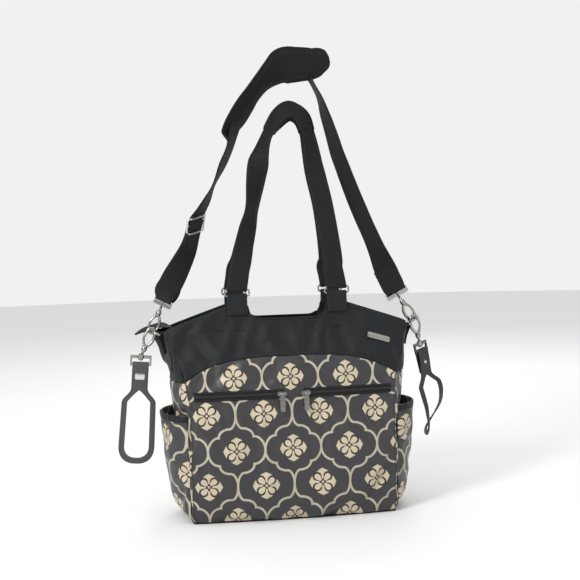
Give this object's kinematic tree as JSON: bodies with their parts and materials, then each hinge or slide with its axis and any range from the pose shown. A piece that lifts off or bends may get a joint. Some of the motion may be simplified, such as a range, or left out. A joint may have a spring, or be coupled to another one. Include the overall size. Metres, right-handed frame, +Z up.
{
  "type": "diaper bag",
  "caption": "Tote bag with printed lower panels, plain yoke, front zips, side bottle pockets, webbing handles, a padded shoulder strap and stroller clips on swivel hooks.",
  "frame": {"origin": "centre of the underside of the base, on the surface that the bag stands on", "axes": "+Z up, the front with the two zips faces -Y, +X to the right seen from the front"},
  "size_m": [0.5506, 0.1644, 0.7444],
  "materials": {
    "print_fabric": "coated woven cloth with a printed lattice and flower pattern, satin",
    "black_fabric": "fine plain weave, matte",
    "webbing": "ribbed webbing, matte",
    "lining_fabric": "thin smooth cloth",
    "zip_tape": "woven tape with moulded teeth",
    "board": "stiff sheet",
    "nickel": "worn nickel plate",
    "grey_leather": "smooth coated leather, satin"
  },
  "bodies": {
    "bag": {"front_panel": "print_fabric", "back_panel": "print_fabric", "front_yoke": "black_fabric", "back_yoke": "black_fabric", "left_gusset": "print_fabric", "right_gusset": "print_fabric", "left_side_yoke": "black_fabric", "right_side_yoke": "black_fabric", "base_panel": "black_fabric", "base_board": "board", "base_binding": "webbing", "lining": "lining_fabric", "left_side_pocket": "print_fabric", "right_side_pocket": "print_fabric", "pocket_elastics": "webbing", "front_pocket_bags": "lining_fabric", "left_front_zip_tape": "zip_tape", "right_front_zip_tape": "zip_tape", "top_closure": "black_fabric", "main_zip_tape": "zip_tape", "main_zip_tail": "webbing", "front_handle_tabs": "webbing", "back_handle_tabs": "webbing", "nameplate": "nickel", "notch_bindings": "webbing", "d_ring_tabs": "webbing"},
    "front_rings": {"front_rings": "nickel"},
    "back_rings": {"back_rings": "nickel"},
    "front_handle": {"front_handle": "webbing", "front_handle_grip": "black_fabric"},
    "back_handle": {"back_handle": "webbing", "back_handle_grip": "black_fabric"},
    "left_d_ring": {"left_d_ring": "nickel"},
    "right_d_ring": {"right_d_ring": "nickel"},
    "shoulder_strap": {"shoulder_strap": "webbing", "shoulder_pad": "black_fabric", "tri_glide": "nickel"},
    "left_strap_ring": {"left_strap_ring": "nickel"},
    "right_strap_ring": {"right_strap_ring": "nickel"},
    "left_strap_clasp": {"left_strap_clasp": "nickel"},
    "right_strap_clasp": {"right_strap_clasp": "nickel"},
    "left_strap_gate": {"left_strap_gate": "nickel"},
    "right_strap_gate": {"right_strap_gate": "nickel"},
    "left_clip_clasp": {"left_clip_clasp": "nickel"},
    "right_clip_clasp": {"right_clip_clasp": "nickel"},
    "left_clip_gate": {"left_clip_gate": "nickel"},
    "right_clip_gate": {"right_clip_gate": "nickel"},
    "left_clip_ring": {"left_clip_ring": "nickel"},
    "right_clip_ring": {"right_clip_ring": "nickel"},
    "left_clip_loop": {"left_clip_loop": "grey_leather", "left_clip_snap": "nickel"},
    "right_clip_loop": {"right_clip_loop": "grey_leather", "right_clip_snap": "nickel"},
    "left_front_slider": {"left_front_slider": "nickel"},
    "right_front_slider": {"right_front_slider": "nickel"},
    "main_slider": {"main_slider": "nickel"},
    "left_front_pull": {"left_front_pull": "nickel"},
    "right_front_pull": {"right_front_pull": "nickel"},
    "main_pull": {"main_pull": "nickel"}
  },
  "joints": [
    {"name": "front_ring_swing", "type": "hinge", "parent": "bag", "child": "front_rings", "pos_m": [0, -0.0295, 0.352], "axis": [1, 0, 0], "range_deg": [0, 80]},
    {"name": "front_handle_swing", "type": "hinge", "parent": "front_rings", "child": "front_handle", "pos_m": [0, -0.0295, 0.362], "axis": [1, 0, 0], "range_deg": [0, 75]},
    {"name": "back_ring_swing", "type": "hinge", "parent": "bag", "child": "back_rings", "pos_m": [0, 0.0295, 0.352], "axis": [1, 0, 0], "range_deg": [-80, 0]},
    {"name": "back_handle_swing", "type": "hinge", "parent": "back_rings", "child": "back_handle", "pos_m": [0, 0.0295, 0.362], "axis": [1, 0, 0], "range_deg": [-75, 0]},
    {"name": "shoulder_strap_swing", "type": "hinge", "parent": "bag", "child": "shoulder_strap", "pos_m": [-0.00143, 0.0042, 0.302], "axis": [1, 0, 0.0092], "range_deg": [-10, 3]},
    {"name": "left_d_ring_swing", "type": "hinge", "parent": "bag", "child": "left_d_ring", "pos_m": [-0.202, 0, 0.293], "axis": [0, 1, 0], "range_deg": [0, 4]},
    {"name": "right_d_ring_swing", "type": "hinge", "parent": "bag", "child": "right_d_ring", "pos_m": [0.202, 0, 0.293], "axis": [0, 1, 0], "range_deg": [-4, 0]},
    {"name": "left_strap_ring_rock", "type": "hinge", "parent": "shoulder_strap", "child": "left_strap_ring", "pos_m": [-0.19303, 0.0042, 0.35119], "axis": [0.9135, 0, -0.4067], "range_deg": [-0.3, 0.3]},
    {"name": "right_strap_ring_rock", "type": "hinge", "parent": "shoulder_strap", "child": "right_strap_ring", "pos_m": [0.1842, 0.0042, 0.35197], "axis": [0.891, 0, 0.454], "range_deg": [-0.3, 0.3]},
    {"name": "left_strap_clasp_turn", "type": "hinge", "parent": "left_strap_ring", "child": "left_strap_clasp", "pos_m": [-0.19791, 0.0042, 0.34023], "axis": [0.4067, 0, 0.9135], "range_deg": [-3, 3]},
    {"name": "right_strap_clasp_turn", "type": "hinge", "parent": "right_strap_ring", "child": "right_strap_clasp", "pos_m": [0.18964, 0.0042, 0.34127], "axis": [-0.5299, 0, 0.848], "range_deg": [-3, 3]},
    {"name": "left_clip_swing", "type": "hinge", "parent": "left_d_ring", "child": "left_clip_clasp", "pos_m": [-0.21618, -0.0042, 0.29922], "axis": [0, 1, 0], "range_deg": [0, 60]},
    {"name": "right_clip_swing", "type": "hinge", "parent": "right_d_ring", "child": "right_clip_clasp", "pos_m": [0.21315, -0.0042, 0.30308], "axis": [0, 1, 0], "range_deg": [-60, 0]},
    {"name": "left_clip_turn", "type": "hinge", "parent": "left_clip_clasp", "child": "left_clip_ring", "pos_m": [-0.23371, -0.0042, 0.25984], "axis": [0.4067, 0, 0.9135], "continuous": true},
    {"name": "right_clip_turn", "type": "hinge", "parent": "right_clip_clasp", "child": "right_clip_ring", "pos_m": [0.22211, -0.0042, 0.26092], "axis": [-0.2079, 0, 0.9781], "continuous": true},
    {"name": "left_loop_fold", "type": "hinge", "parent": "left_clip_ring", "child": "left_clip_loop", "pos_m": [-0.23475, -0.0042, 0.24789], "axis": [-0.9962, 0, 0.0872], "range_deg": [-60, 60]},
    {"name": "right_loop_fold", "type": "hinge", "parent": "right_clip_ring", "child": "right_clip_loop", "pos_m": [0.2246, -0.0042, 0.24918], "axis": [0.7708, 0.6157, 0.1638], "range_deg": [-60, 4]},
    {"name": "left_strap_gate_press", "type": "hinge", "parent": "left_strap_clasp", "child": "left_strap_gate", "pos_m": [-0.21469, 0.0042, 0.31804], "axis": [0, 1, 0], "range_deg": [-20, 0], "stiffness_Nm_per_rad": 0.02, "springref_deg": 2},
    {"name": "right_strap_gate_press", "type": "hinge", "parent": "right_strap_clasp", "child": "right_strap_gate", "pos_m": [0.20935, 0.0042, 0.32163], "axis": [0, 1, 0], "range_deg": [0, 20], "stiffness_Nm_per_rad": 0.02, "springref_deg": -2},
    {"name": "left_clip_gate_press", "type": "hinge", "parent": "left_clip_clasp", "child": "left_clip_gate", "pos_m": [-0.22844, -0.0042, 0.28716], "axis": [0, 1, 0], "range_deg": [0, 20], "stiffness_Nm_per_rad": 0.02, "springref_deg": -2},
    {"name": "right_clip_gate_press", "type": "hinge", "parent": "right_clip_clasp", "child": "right_clip_gate", "pos_m": [0.22264, -0.0042, 0.28874], "axis": [0, 1, 0], "range_deg": [-20, 0], "stiffness_Nm_per_rad": 0.02, "springref_deg": 2},
    {"name": "left_front_zip", "type": "slide", "parent": "bag", "child": "left_front_slider", "axis": [-0.9993, 0.0367, 0], "range_m": [0, 0.1306]},
    {"name": "right_front_zip", "type": "slide", "parent": "bag", "child": "right_front_slider", "axis": [0.9993, 0.0367, 0], "range_m": [0, 0.1306]},
    {"name": "main_zip", "type": "slide", "parent": "bag", "child": "main_slider", "axis": [-1, 0, 0], "range_m": [0, 0.32]},
    {"name": "left_front_pull_swing", "type": "hinge", "parent": "left_front_slider", "child": "left_front_pull", "pos_m": [-0.01857, -0.07959, 0.20046], "axis": [-0.9962, 0.0872, 0], "range_deg": [0, 120]},
    {"name": "right_front_pull_swing", "type": "hinge", "parent": "right_front_slider", "child": "right_front_pull", "pos_m": [0.01857, -0.07959, 0.20046], "axis": [-0.9962, -0.0872, 0], "range_deg": [0, 120]},
    {"name": "main_pull_swing", "type": "hinge", "parent": "main_slider", "child": "main_pull", "pos_m": [0.16, 0, 0.3056], "axis": [0, 1, 0], "range_deg": [0, 170]}
  ]
}
